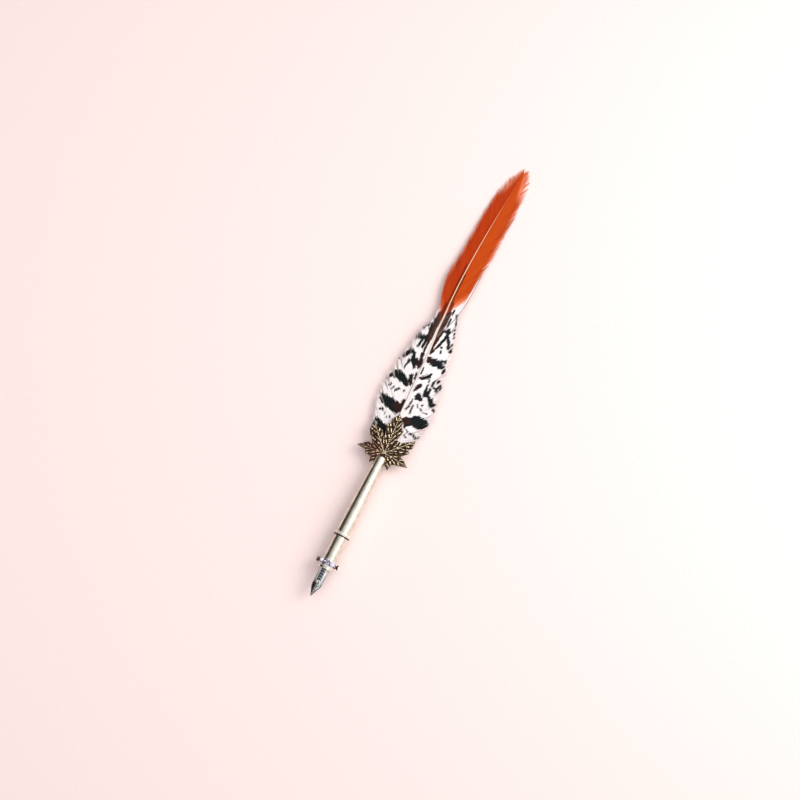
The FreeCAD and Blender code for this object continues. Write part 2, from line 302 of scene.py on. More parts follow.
def nib_steel():
    """Bright pressed steel with a bluish temper; painted shade darkens the pressed hollows, the
    panel, one edge and the inside, and greys the tines' left side brown, and dark specks lie on the
    tines.
    """
    look = Look("nib_steel", Metallic=0.6)
    polish = look.noise(5.0, (2.0, 0.2, 1.0), detail=3)
    temper = look.cloud(0.5, 0.4, 0.65)
    tone = look.mix(temper, tint(255, 255, 255), tint(236, 242, 242))
    # painted shade: grey-brown on the tines' left side
    tone = look.mix(look.attribute("left_tine_shade"), tone, tint(104, 94, 86))
    # painted shade: near black in the hollows, on the panel, along one edge and inside; also dark
    # specks
    tone = look.mix(look.attribute("hollow"), tone, tint(5, 9, 9))
    look.bump(polish, 0.01)
    sheen = look.spread(polish, 0.3, 0.7, 0.12, 0.22)
    return look.set(Base_Color=tone, Roughness=sheen)


def crystal():
    """Milky cut glass, a little violet where it is cloudy."""
    look = Look("crystal", Metallic=0.0, Roughness=0.03, IOR=1.62, Transmission_Weight=0.05,
                Coat_Weight=1.0)
    cloud = look.cloud(0.9, 0.35, 0.65, detail=2)
    return look.set(Base_Color=look.mix(cloud, tint(255, 253, 255), tint(226, 216, 242)))


def cork():
    """Cork with pits and darker grains."""
    look = Look("cork", Roughness=0.85)
    cell = look.noise(2.2, detail=6, roughness=0.7)
    tone = look.mix(look.spread(cell, 0.4, 0.6), tint(186, 142, 96), tint(116, 78, 46))
    look.bump(cell, 0.2)
    return look.set(Base_Color=tone)


def aged_bronze():
    """Cast bronze: dark brown in the hollows, rubbed to a warm yellow on the ribs."""
    look = Look("leaf_bronze", Metallic=1.0)
    relief = look.attribute("relief")
    redness = look.attribute("redness")
    grain = look.noise(3.2, detail=6, roughness=0.65)
    patina = look.cloud(0.6, 0.38, 0.62, detail=4)
    hollow = look.mix(patina, tint(80, 61, 44), tint(54, 40, 29))
    hollow = look.mix(redness, hollow, tint(84, 54, 43))
    ridge = look.mix(redness, tint(228, 208, 174), tint(216, 178, 152))
    rough = look.math("MULTIPLY", look.math("SUBTRACT", grain, 0.5), 0.6)
    rubbed = look.spread(look.math("ADD", relief, rough), 0.3, 0.62)
    tone = look.mix(rubbed, hollow, ridge)
    look.bump(grain, 0.05)
    return look.set(Base_Color=tone, Roughness=look.spread(rubbed, 0, 1, 0.55, 0.27))


def quill_horn():
    """Cream horn, darker along the two edges where the barbs start."""
    look = Look("quill_horn", Roughness=0.32, Specular_IOR_Level=0.5, Subsurface_Weight=0.1)
    look.shader.inputs["Subsurface Radius"].default_value = (0.002, 0.001, 0.0006)
    grain = look.noise(2.0, (1, 0.08, 1), detail=4)
    tone = look.mix(look.spread(grain, 0.35, 0.7), tint(240, 232, 228), tint(214, 202, 198))
    tone = look.mix(look.attribute("cream"), tone, tint(255, 228, 190))
    tone = look.mix(look.attribute("edge"), tone, tint(96, 58, 40))
    tone = look.mix(look.attribute("dyed"), tone, tint(222, 96, 36))
    look.bump(grain, 0.02)
    return look.set(Base_Color=tone)


def feather_barbs():
    """White, black and dyed orange barbs. The marks lie in the mesh; streaks come from noise."""
    look = Look("feather_barbs", Roughness=0.7, Specular_IOR_Level=0.12, Sheen_Weight=0.04,
                Sheen_Roughness=0.4)
    streak = look.noise(1.6, (1.6, 0.35, 1.0), detail=5, roughness=0.65)
    fine = look.noise(5.0, (1.0, 0.5, 1.0), detail=3)
    shade = look.attribute("shade")
    white = look.mix(look.spread(streak, 0.45, 0.75), tint(250, 243, 242), tint(236, 226, 226))
    white = look.mix(look.spread(shade, 0.85, 1.0, 0.0, 0.2), white, tint(222, 206, 202))
    fleck = look.noise(1.1, (1.0, 1.6, 1.0), detail=5, roughness=0.7)
    white = look.mix(look.spread(fleck, 0.56, 0.66, 0.0, 0.5), white, tint(206, 190, 196))
    white = look.mix(look.attribute("blush"), white, tint(250, 196, 182))
    deep = look.mix(look.attribute("right"), tint(182, 54, 6), tint(188, 68, 4))
    deep = look.mix(look.spread(streak, 0.45, 0.75, 0.0, 0.5), deep, tint(150, 42, 8))
    deep = look.mix(look.spread(shade, 0.6, 1.0, 0.0, 0.35), deep, tint(212, 92, 24))
    orange = look.mix(look.attribute("pale"), deep, tint(242, 144, 104))
    warm = look.attribute("warm")
    black = look.mix(warm, tint(14, 22, 23), tint(50, 26, 19))
    glint = look.mix(warm, tint(62, 68, 68), tint(98, 66, 52))
    black = look.mix(look.spread(fine, 0.45, 0.8, 0.0, 0.4), black, glint)
    black = look.mix(look.attribute("orange"), black, tint(112, 36, 10))
    tone = look.mix(look.attribute("orange"), white, orange)
    tone = look.mix(look.attribute("dark"), tone, black)
    look.bump(fine, 0.02, 0.5)
    return look.set(Base_Color=tone)


# ---- the feather ----
# The feather leans across the pen: a point given from the straight line between the nib's point
# and the feather's tip is moved by these two to lie across from the holder's axis.
line_start = 0.6
line_slope = 0.0137

# dark marks on the left vane: (across, along, across, along, half width), from the straight line
left_marks = (
    (-11.3, 98.8, -8.6, 97.2, 0.9), (-8.6, 97.0, -6.2, 96.0, 1.35), (-6.2, 96.0, -4.6, 94.2, 1.2),
    (-4.6, 94.0, -3.3, 92.0, 0.8), (-14.3, 111.5, -12.0, 111.4, 1.0),
    (-14.6, 111.0, -14.6, 109.5, 0.35), (-12.8, 109.5, -12.4, 108.3, 0.4),
    (-12.0, 110.2, -9.0, 109.6, 2.1), (-9.0, 109.4, -5.5, 108.7, 2.5),
    (-5.5, 108.6, -4.2, 108.4, 2.6), (-3.4, 108.6, -3.0, 109.2, 1.6),
    (-3.2, 106.6, -2.9, 110.5, 1.0), (-2.5, 113.4, -2.2, 111.5, 0.75),
    (-16.0, 120.9, -15.3, 123.0, 0.5), (-15.2, 122.6, -14.0, 124.6, 0.85),
    (-13.3, 126.2, -11.0, 126.6, 0.9), (-12.5, 125.2, -10.5, 125.4, 1.9),
    (-10.5, 125.2, -7.5, 123.8, 1.9), (-7.5, 123.5, -5.5, 122.5, 1.35),
    (-5.3, 122.4, -4.8, 121.9, 0.9), (-5.3, 127.3, -4.2, 124.6, 0.6),
    (-4.4, 127.9, -3.2, 123.4, 0.5), (-3.5, 124.5, -3.0, 122.8, 0.5),
    (-2.8, 129.6, -2.4, 126.4, 0.35), (-12.6, 119.0, -12.6, 118.6, 0.4),
    (-13.7, 118.0, -13.4, 118.1, 0.22), (-10.6, 118.4, -11.0, 116.7, 0.28),
    (-9.2, 116.5, -8.6, 117.8, 0.38), (-8.4, 117.9, -7.3, 118.6, 0.35),
    (-4.7, 118.1, -4.4, 118.4, 0.25), (-12.2, 104.2, -11.6, 104.7, 0.4),
    (-11.0, 105.0, -10.5, 104.4, 0.38), (-9.0, 103.3, -8.9, 102.9, 0.2),
    (-8.2, 104.0, -8.0, 103.7, 0.2), (-5.5, 102.7, -5.4, 102.2, 0.3),
    (-7.3, 101.6, -7.0, 101.2, 0.3), (-15.0, 133.6, -14.0, 135.8, 0.5),
    (-14.0, 135.6, -12.2, 137.4, 0.9), (-12.0, 137.8, -10.9, 139.8, 0.85),
    (-11.7, 141.0, -11.1, 139.6, 0.4), (-10.1, 140.1, -8.9, 139.2, 0.75),
    (-8.6, 139.4, -8.0, 136.0, 0.65), (-8.0, 135.5, -5.8, 134.0, 1.0),
    (-6.4, 135.9, -3.7, 135.2, 1.2), (-3.6, 138.0, -3.3, 134.2, 0.85),
    (-3.3, 134.0, -3.2, 132.8, 0.4), (-4.6, 144.6, -4.3, 140.0, 0.42),
    (-4.5, 140.5, -3.8, 137.5, 0.75), (-6.3, 134.0, -5.4, 132.1, 0.55),
    (-9.8, 135.0, -9.4, 133.4, 0.5), (-9.6, 133.4, -10.3, 130.0, 0.36),
    (-11.0, 148.9, -8.2, 148.9, 1.15), (-8.2, 149.1, -6.2, 149.4, 1.3),
    (-11.2, 150.6, -10.2, 150.0, 0.4), (-11.4, 148.0, -11.7, 147.2, 0.4),
    (-8.0, 147.6, -8.7, 143.5, 0.5), (-6.0, 148.2, -6.3, 144.1, 0.6),
    (-6.2, 150.0, -6.4, 154.0, 0.4), (-6.4, 154.0, -6.8, 158.3, 0.7),
    (-7.1, 160.6, -6.2, 160.2, 0.6), (-13.4, 144.5, -13.3, 144.0, 0.35),
    (-10.6, 154.5, -10.2, 154.2, 0.6), (-10.1, 155.0, -9.8, 156.5, 0.3),
    (-8.6, 156.0, -8.4, 157.9, 0.34), (-7.6, 155.2, -7.3, 154.8, 0.3),
    (-4.6, 146.2, -4.3, 148.6, 0.4),
)
right_marks = (
    (8.2, 106.2, 11.6, 106.4, 2.8), (12.6, 107.4, 13.7, 104.6, 0.95), (6.6, 108.2, 7.6, 107.4, 0.9),
    (5.4, 104.8, 7.4, 105.4, 2.0), (4.3, 102.2, 5.4, 103.4, 0.8), (4.2, 102.0, 3.8, 100.6, 0.5),
    (2.2, 104.2, 4.4, 104.2, 1.15), (3.0, 105.3, 3.6, 103.0, 0.9), (3.1, 106.0, 4.6, 106.4, 0.4),
    (6.5, 99.1, 8.6, 99.3, 0.3), (8.4, 99.2, 8.8, 98.6, 0.4), (10.0, 99.4, 10.3, 98.1, 0.3),
    (11.6, 98.5, 12.0, 98.4, 0.5), (12.8, 98.5, 13.0, 99.5, 0.33), (5.6, 97.0, 7.0, 96.2, 0.35),
    (5.3, 100.1, 5.6, 99.9, 0.3), (7.2, 115.4, 7.3, 115.2, 0.5), (7.3, 113.1, 8.3, 112.8, 0.3),
    (9.3, 112.2, 11.7, 112.5, 0.2), (3.1, 113.2, 3.3, 111.0, 0.3), (5.0, 114.6, 5.8, 113.0, 0.24),
    (2.9, 110.6, 3.4, 108.4, 0.3), (8.2, 121.0, 10.0, 119.3, 0.7), (10.0, 119.4, 12.5, 118.1, 1.0),
    (11.0, 117.4, 13.0, 117.1, 0.8), (12.8, 117.5, 14.0, 115.5, 0.55),
    (10.8, 120.4, 10.9, 119.6, 0.45), (3.3, 119.5, 5.0, 118.4, 0.95), (2.7, 118.0, 5.2, 117.9, 0.8),
    (5.2, 126.6, 5.5, 123.2, 0.4), (5.6, 123.2, 6.2, 120.9, 0.75), (7.6, 125.1, 7.2, 122.6, 0.6),
    (7.1, 122.6, 6.6, 121.0, 0.6), (8.1, 130.9, 7.5, 129.8, 0.42), (7.5, 129.8, 7.4, 127.0, 0.42),
    (9.8, 131.1, 9.4, 129.9, 0.5), (8.8, 126.9, 10.5, 126.3, 0.5), (10.3, 127.0, 11.2, 129.1, 0.34),
    (11.2, 129.4, 12.2, 129.0, 0.34), (12.2, 129.0, 12.0, 127.0, 0.38),
    (12.7, 126.5, 11.3, 125.1, 0.5), (10.2, 126.2, 11.2, 125.2, 0.55),
    (1.9, 124.7, 0.7, 122.6, 0.8), (0.6, 122.6, 0.1, 120.5, 0.35), (0.1, 128.3, 2.0, 128.9, 0.7),
    (2.0, 129.3, 3.9, 131.4, 0.9), (3.9, 131.6, 4.4, 132.9, 0.5), (-0.7, 133.7, -0.6, 130.4, 0.34),
    (0.4, 109.9, 1.2, 111.8, 0.34), (1.2, 112.0, 1.5, 116.0, 0.28), (4.9, 129.3, 5.0, 128.6, 0.35),
    (-1.0, 140.0, -0.5, 138.9, 0.5), (0.6, 139.0, 3.4, 138.9, 1.55), (1.6, 140.2, 6.5, 140.9, 0.75),
    (5.0, 138.6, 6.2, 138.7, 1.3), (6.2, 142.0, 7.8, 141.5, 0.5), (8.3, 142.0, 8.5, 141.7, 0.6),
    (7.7, 139.8, 7.6, 138.0, 0.5), (8.3, 139.5, 9.9, 137.3, 0.7), (9.6, 136.2, 11.1, 136.0, 0.75),
    (-0.8, 142.6, -1.2, 147.0, 0.45), (-1.2, 147.0, -0.5, 152.0, 0.5),
    (-0.5, 152.0, 0.1, 157.0, 0.4), (-0.5, 143.2, 1.0, 147.6, 0.36), (1.0, 147.6, 2.5, 153.0, 0.55),
    (2.5, 153.0, 3.3, 158.0, 0.55), (3.3, 155.0, 5.2, 152.5, 0.7), (5.2, 152.4, 6.2, 149.6, 0.65),
    (6.3, 150.0, 8.1, 148.6, 0.85), (7.5, 152.2, 8.0, 150.0, 0.5), (2.9, 148.2, 3.0, 148.0, 0.45),
    (3.7, 145.9, 3.8, 145.6, 0.5), (0.5, 157.0, 3.0, 157.8, 0.85), (2.0, 159.0, 3.0, 158.8, 0.4),
    (0.9, 160.0, 0.8, 164.8, 0.34), (0.5, 167.1, 0.5, 169.4, 0.34), (2.5, 168.0, 3.2, 166.5, 0.34),
    (3.6, 166.0, 4.7, 162.0, 0.26), (4.9, 160.4, 5.1, 160.2, 0.55), (4.8, 160.0, 4.4, 158.8, 0.3),
    (6.0, 158.0, 6.6, 155.8, 0.42),
)
# brown roots of the barbs beside the quill: (across, along, across, along, half width)
left_roots = (
    (-4.5, 143.0, -4.6, 150.0, 0.4), (-4.7, 150.0, -5.0, 158.0, 1.0),
    (-5.1, 158.0, -5.2, 165.0, 1.3), (-4.9, 165.0, -4.8, 171.0, 0.7),
    (-4.6, 171.0, -4.6, 196.0, 0.22),
)
right_roots = (
    (-1.3, 144.0, -1.3, 153.0, 0.55), (-1.4, 153.0, -1.3, 160.0, 1.0),
    (-1.3, 160.0, -1.3, 167.0, 1.1), (-1.7, 167.0, -2.0, 173.0, 0.65),
    (-2.8, 172.0, -2.9, 190.0, 0.25),
)
# loose strands beside the right vane: points from the straight line, the number of barbs, and
# whether they are dyed
right_strands = (
    (((-2.0, 152.0), (1.4, 162.0), (3.3, 170.0), (4.3, 179.0), (5.0, 192.0)), 12, False),
    (((4.2, 217.0), (5.4, 222.0), (6.6, 227.0), (7.4, 233.5)), 3, True),
)
# a stroke is drawn wider than its half width: times swell, plus spread in mm
mark_spread = 0.14
mark_swell = 1.13
# brown ends of two bars
brown_patches = ((2.2, 104.2, 4.0, 104.4, 1.6), (-5.0, 109.5, -3.0, 109.5, 1.6))


def nearness(across, along, strokes, soft):
    """1 inside any of the strokes, fading to 0 over soft mm outside."""
    inside = np.zeros_like(across)
    for x0, y0, x1, y1, half in strokes:
        half = half * mark_swell + mark_spread
        x0 += line_start - line_slope * y0
        x1 += line_start - line_slope * y1
        run = np.array((x1 - x0, y1 - y0))
        share = ((across - x0) * run[0] + (along - y0) * run[1]) / (run @ run)
        share = np.clip(share, 0, 1)
        distance = np.hypot(across - x0 - share * run[0], along - y0 - share * run[1])
        inside = np.maximum(inside, smooth_step(half + soft, half - soft, distance))
    return inside


def wander(value, seed):
    """A slow wave between about -1 and 1 that never repeats over the feather."""
    turns = np.random.default_rng(seed).uniform(0, 6.283, 4)
    rates = (0.9, 1.53, 2.71, 4.3)
    return sum(np.sin(value * rate + turn) for rate, turn in zip(rates, turns)) / 2.4


# barbs, in mm; side is -1 for the left vane and 1 for the right
barb_steps = 36
barb_width = 0.46
barb_thick = 0.12
root_start, root_end = 83.0, 256.5
barb_count = 560
stray_count = 150
down_count = 60
down_roots = (84, 101)
stray_thick = 0.06
vane_end = 259.4
# a barb leans and goes out by these powers of the share of its length
lean_power = 1.18
out_power = 0.82
# splits in the vane: (root, half the gap), how far along it is felt, and how it widens outwards
vane_splits = {-1: ((101.0, 1.4), (127.0, 0.9), (146.5, 1.6), (214.0, 0.5)),
               1: ((95.0, 1.5), (121.0, 0.8), (152.0, 1.2), (160.5, 1.0), (226.0, 0.6))}
split_felt = 5.0
split_power = 2.2
# locks: barbs in one, how far they draw together, their length and their lift
lock_barbs = (5, 18)
lock_pull = (0.1, 0.75)
lock_length = (0.955, 1.02)
lock_lift = (-0.12, 0.16)
# the barbs part and thin towards the feather's tip, and thin out where the dye starts
parted_roots = (216, 236)
thinned_roots = (216, 238)
waist = 157.0
waist_half = 6.0
waist_thinned = {-1: 0.45, 1: 0.2}
# the dye: where it starts at the quill, how much later for each mm out, and its first paleness
dye_start = {-1: 161.0, 1: 165.5}
dye_slope = 1.55
dye_pale = {-1: 0.35, 1: 0.7}
# a warm blush on the white before the dye
blush_root = 158.0
blush_share = {-1: 0.8, 1: 0.1}
# stand-ins for the roots of strands, which have none on the quill
white_root, dyed_root = 20.0, 300.0
dark_strands = 3


def quill_middle(along):
    """How far across the quill's middle is, and its drop."""
    along = np.minimum(along, pen_length)
    return smooth_value(quill_stations, along, 1), smooth_value(quill_stations, along, 2)


def barb_path(root, side, shares):
    """Across, along and height of the barbs that start at root, at each share of their length."""
    root = np.asarray(root)[:, None]
    shares = np.asarray(shares)[None, :]
    lean = smooth_value(lean_stations, root, 1)
    column = 2 if side > 0 else 1
    reach = smooth_value(vane_stations, np.minimum(root + lean, vane_end), column)
    along = root + lean * shares ** lean_power
    for split, gap in vane_splits[side]:
        push = np.sign(root - split) * np.exp(-np.abs(root - split) / split_felt) * gap
        along = along + push * shares ** split_power
    out = reach * shares ** out_power
    middle, drop = quill_middle(along)
    return middle + side * out, along, -drop - out * vane_fall


def make_vane(side, name, node):
    roots = np.linspace(root_start, root_end, barb_count)
    roots = roots + rng.uniform(-0.1, 0.1, barb_count)
    shares = np.linspace(0, 1, barb_steps + 1)
    across, along, height = barb_path(roots, side, shares)

    # barbs hook together in locks, which part near the edge
    start = 0
    centre = roots.copy()
    pull = np.zeros(barb_count)
    length = np.ones(barb_count)
    lift = np.zeros(barb_count)
    while start < barb_count:
        size = int(rng.integers(*lock_barbs))
        chosen = slice(start, start + size)
        centre[chosen] = roots[chosen].mean()
        pull[chosen] = rng.uniform(*lock_pull)
        length[chosen] = rng.uniform(*lock_length)
        lift[chosen] = rng.uniform(*lock_lift)
        start += size
    length = length * rng.uniform(0.93, 1.015, barb_count)
    pull = pull + (0.95 - pull) * 0.75 * smooth_step(*parted_roots, roots)
    fold = smooth_step(0.55, 1.0, shares)[None, :] * pull[:, None]
    lock_across, lock_along, _ = barb_path(centre, side, shares)
    across = across + (lock_across - across) * fold
    along = along + (lock_along - along) * fold
    ruffle = smooth_step(0.1, 1.0, shares)[None, :]
    height = height + lift[:, None] * ruffle
    height = height + rng.uniform(-0.05, 0.05, barb_count)[:, None] * ruffle
    # shorten a barb by drawing its points back along its own path
    for index in range(barb_count):
        for line in (across, along, height):
            line[index] = np.interp(shares * length[index], shares, line[index])
    width = np.interp(shares, (0, 0.08, 0.72, 0.9, 1), (0.8, 1.0, 0.85, 0.5, 0.12)) * barb_width / 2
    thick = np.interp(shares, (0, 0.7, 1), (1.0, 0.8, 0.35)) * barb_thick
    thinned = smooth_step(*thinned_roots, roots)[:, None] * smooth_step(0.3, 0.75, shares)[None, :]
    width = width[None, :] * (1 - 0.68 * thinned)
    sparse = smooth_step(waist_half, 0.0, np.abs(roots - waist)) * waist_thinned[side]
    width = width * (1 - sparse[:, None] * smooth_step(0.45, 0.7, shares)[None, :])
    thick = np.broadcast_to(thick, width.shape)
    sets = [(roots, across, along, height, width, thick), stray_barbs(side, shares)]
    sets += strand_barbs(side, shares)
    joined = [np.concatenate(part) for part in zip(*sets)]
    make_barbs(name, side, node, *joined, shares)


def stray_barbs(side, shares):
    """Thin downy barbs that wave out of the locks and soften the vane's edge."""
    strays = rng.uniform(root_start, root_end, stray_count)
    roots = np.concatenate((strays, rng.uniform(*down_roots, down_count)))
    across, along, height = barb_path(roots, side, shares)
    down = (np.arange(len(roots)) >= stray_count)[:, None]
    size = np.where(down, 0.9, 0.3) * rng.uniform(0.3, 1.0, len(roots))[:, None]
    phase = rng.uniform(0, 6.28, len(roots))[:, None]
    rate = rng.uniform(5.0, 11.0, len(roots))[:, None]
    swing = size * np.sin(shares[None, :] * rate + phase) * smooth_step(0.2, 1.0, shares)[None, :]
    along = along + swing
    across = across + side * 0.4 * swing
    height = height + (0.1 + 0.15 * np.abs(swing)) * smooth_step(0.2, 0.8, shares)[None, :]
    width = np.interp(shares, (0, 0.6, 1), (0.09, 0.075, 0.02))[None, :] * np.ones((len(roots), 1))
    return roots, across, along, height, width, np.full(width.shape, stray_thick)


def strand_barbs(side, shares):
    """The long loose strands on the right, beside the dyed part."""
    sets = []
    for path, count, dyed in (right_strands if side > 0 else ()):
        table = np.array(path)
        station = (table[:, 1] - table[0, 1]) / (table[-1, 1] - table[0, 1])
        smooth = smooth_value(np.column_stack((station, table[:, 0])), shares, 1)
        along = table[0, 1] + (table[-1, 1] - table[0, 1]) * shares
        offset = np.linspace(-0.5, 0.5, count)[:, None] * (1.15 - 0.6 * shares[None, :])
        across = smooth[None, :] + line_start - line_slope * along[None, :] + offset
        along = along[None, :] + rng.uniform(-1.5, 1.5, count)[:, None] * shares[None, :]
        middle, drop = quill_middle(along)
        height = -drop - np.abs(across - middle) * vane_fall + 0.22
        width = np.interp(shares, (0, 0.7, 1), (0.11, 0.1, 0.02))[None, :] * np.ones((count, 1))
        roots = np.full(count, dyed_root if dyed else white_root)
        sets.append((roots, across, along, height, width, np.full(width.shape, stray_thick)))
    return sets


def make_barbs(name, side, node, roots, across, along, height, width, thick, shares):
    """Closed barbs with a ridge on top, from their middle lines."""
    count, points = across.shape
    slope_x = np.gradient(across, axis=1)
    slope_y = np.gradient(along, axis=1)
    size = np.hypot(slope_x, slope_y) + 1e-9
    side_x, side_y = slope_y / size * width, -slope_x / size * width
    ring = np.stack((
        np.stack((across, along, height + thick), -1),
        np.stack((across + side_x, along + side_y, height - thick * 0.4), -1),
        np.stack((across - side_x, along - side_y, height - thick * 0.4), -1),
    ), 2)
    vertices = ring.reshape(-1, 3)
    barb = np.arange(count)[:, None] * points * 3
    step = np.arange(points - 1)[None, :] * 3
    base = (barb + step)[..., None]
    quads = []
    for first, second in ((0, 1), (1, 2), (2, 0)):
        corners = (first, second, second + 3, first + 3)
        quads.append(np.concatenate([base + corner for corner in corners], -1))
    faces = np.stack(quads, 2).reshape(-1, 4).tolist()
    start_cap = barb.ravel()
    end_cap = start_cap + (points - 1) * 3
    faces += [(a, a + 2, a + 1) for a in start_cap.tolist()]
    faces += [(a, a + 1, a + 2) for a in end_cap.tolist()]

    values = barb_marks(side, roots, across, along, shares)
    values = {key: np.repeat(numbers[..., None], 3, 2).ravel() for key, numbers in values.items()}
    new_piece(name, vertices, faces, "holder", vane_look, node, values)


def barb_marks(side, roots, across, along, shares):
    """What the barbs' material needs to know at each point, from 0 to 1."""
    count = len(roots)
    roots = roots[:, None]
    shares = shares[None, :]
    jitter = rng.normal(0, 0.28, count)[:, None]
    mark_x = across + 0.16 * wander(along * 1.3 + across * 0.9, 3)
    mark_y = along + jitter + 0.3 * wander(across * 1.1 - along * 0.6, 5)
    marks, brown = (left_marks, left_roots) if side < 0 else (right_marks, right_roots)
    dark = nearness(mark_x, mark_y, marks, 0.12)
    comb = 1 - 0.12 * smooth_step(0.7, 1.0, np.sin(roots * 7.0))
    brown = nearness(across, mark_y, brown, 0.3) * comb
    out = np.abs(across - quill_middle(along)[0])
    warm = np.maximum(np.clip(1.2 - out / 4.5, 0, 1), nearness(across, along, brown_patches, 0.8))

    past_dye = along - dye_start[side] - dye_slope * out + 2.2 * jitter
    dyed = np.where(roots == white_root, 0.0, smooth_step(-1.5, 2.0, past_dye))
    edge_pale = 0.75 * smooth_step(0.72, 1.0, shares)
    tip_pale = smooth_step(238, 247, along) * smooth_step(1.2, 3.4, out - (250 - along) * 0.2)
    start_pale = smooth_step(7.0, 0.0, past_dye)
    pale = np.clip(edge_pale + tip_pale * 0.8 + start_pale * dye_pale[side], 0, 1)
    blush = smooth_step(11.0, 3.0, np.abs(roots - blush_root)) * smooth_step(0.35, 0.7, shares)
    tip_grey = 0.8 * smooth_step(257.6, 259.4, along)

    strands = np.flatnonzero(roots == white_root)[-dark_strands:]
    dark[strands] = np.maximum(dark[strands], 0.9)
    dark = np.maximum.reduce((dark * (1 - dyed), brown, tip_grey))
    return {
        "dark": np.clip(dark, 0, 1), "warm": warm, "orange": np.maximum(dyed, 0.13 * brown),
        "pale": pale, "blush": blush * blush_share[side],
        "shade": np.broadcast_to(rng.uniform(0, 1, count)[:, None], across.shape),
        "right": np.full(across.shape, float(side > 0)),
    }


def make_shaft():
    """The quill in the barrel and the shaft beyond it, a little slimmer than in the CAD."""
    in_barrel = np.linspace(quill_start, quill_mouth, 6)
    stations = np.concatenate((in_barrel, np.linspace(quill_mouth + 1, pen_length, 150)))
    ring_count = 18
    angles = np.arange(ring_count) * 2 * math.pi / ring_count
    middle, drop = quill_middle(stations)
    radius = smooth_value(quill_stations, stations, 3) * (1 + 0.03 * wander(stations * 0.7, 9))
    radius = radius * (0.84 - 0.28 * smooth_step(142, 162, stations))
    rows, edge = [], []
    for x, y, down, size in zip(middle, stations, drop, radius):
        for angle in angles:
            rows.append((x + size * math.cos(angle), y, -down + size * math.sin(angle)))
            edge.append(abs(math.cos(angle)) ** 4 * 0.85)
    faces = []
    for row in range(len(stations) - 1):
        for index in range(ring_count):
            after = (index + 1) % ring_count
            a, b = row * ring_count + index, row * ring_count + after
            faces.append((a, b, b + ring_count, a + ring_count))
    faces.append(tuple(reversed(range(ring_count))))
    faces.append(tuple(range(len(rows) - ring_count, len(rows))))
    edge = np.array(edge) * np.repeat(smooth_step(100, 130, stations), ring_count)
    dyed = np.repeat(smooth_step(205, 246, stations), ring_count)
    cream = np.repeat(smooth_step(140, 160, stations), ring_count)
    values = {"edge": edge, "dyed": dyed, "cream": cream}
    new_piece("feather_shaft", rows, faces, "holder", quill_look, "quill_shaft", values)


# ---- the leaf ----
leaf_tip = (-1.5, 105.7)
leaf_left = (
    (-4.2, 102.0), (-3.9, 99.3), (-5.7, 98.0), (-3.7, 91.6), (-6.3, 94.4), (-9.6, 95.0),
    (-12.7, 97.2), (-12.6, 91.8), (-11.0, 89.4), (-7.7, 85.6), (-10.3, 85.4), (-14.9, 81.6),
    (-10.2, 81.2), (-8.7, 79.2), (-5.8, 79.2), (-4.9, 75.7), (-3.4, 77.6),
)
leaf_right = (
    (1.9, 102.0), (1.8, 100.2), (4.1, 98.1), (3.0, 92.5), (5.9, 92.1), (8.6, 94.0), (12.1, 96.5),
    (12.3, 92.0), (10.6, 90.4), (12.2, 89.0), (8.4, 85.4), (10.9, 84.4), (14.4, 81.8), (8.0, 80.1),
    (6.1, 79.6), (5.6, 75.7), (3.4, 77.8),
)
leaf_base = ((2.0, 76.2), (-2.0, 76.2))
leaf_heart = (0.15, 83.5)
leaf_hole = (0.15, 81.5)
leaf_hole_radius = 0.42
leaf_vein_ends = ((-1.3, 104.5), (-11.8, 96.0), (11.3, 95.2), (-13.2, 82.0), (12.8, 82.2))
leaf_half = 0.35
leaf_bevel = 0.12
leaf_raised = 0.5
leaf_cell = 0.16
leaf_columns = (-15.4, 15.2)
leaf_rows = (75.2, 106.2)
# short ribs run out from each vein at this slope, in rows that gaps cut across
leaf_rib_slope = 0.55
leaf_rib_pitch = 1.9
leaf_gap_pitch = 3.3
leaf_bead_pitch = 1.1
# the lobes droop beside the barrel, and the leaf is plain in the barrel's slot
leaf_flat_half = 2.6
leaf_droop = 0.006
slot_end = (83.0, 81.0)
slot_side = (3.2, 2.4)


def outline_distance(x, y, outline):
    """Distance to the outline (positive inside) and the nearest point on it."""
    best = np.full(x.shape, 1e9)
    near_x, near_y = x.copy(), y.copy()
    inside = np.zeros(x.shape, bool)
    for (x0, y0), (x1, y1) in zip(outline, outline[1:] + outline[:1]):
        dx, dy = x1 - x0, y1 - y0
        share = np.clip(((x - x0) * dx + (y - y0) * dy) / (dx * dx + dy * dy), 0, 1)
        px, py = x0 + share * dx, y0 + share * dy
        distance = np.hypot(x - px, y - py)
        closer = distance < best
        best = np.where(closer, distance, best)
        near_x = np.where(closer, px, near_x)
        near_y = np.where(closer, py, near_y)
        crosses = ((y0 > y) != (y1 > y)) & (x < (x1 - x0) * (y - y0) / (y1 - y0 + 1e-12) + x0)
        inside ^= crosses
    return np.where(inside, best, -best), near_x, near_y


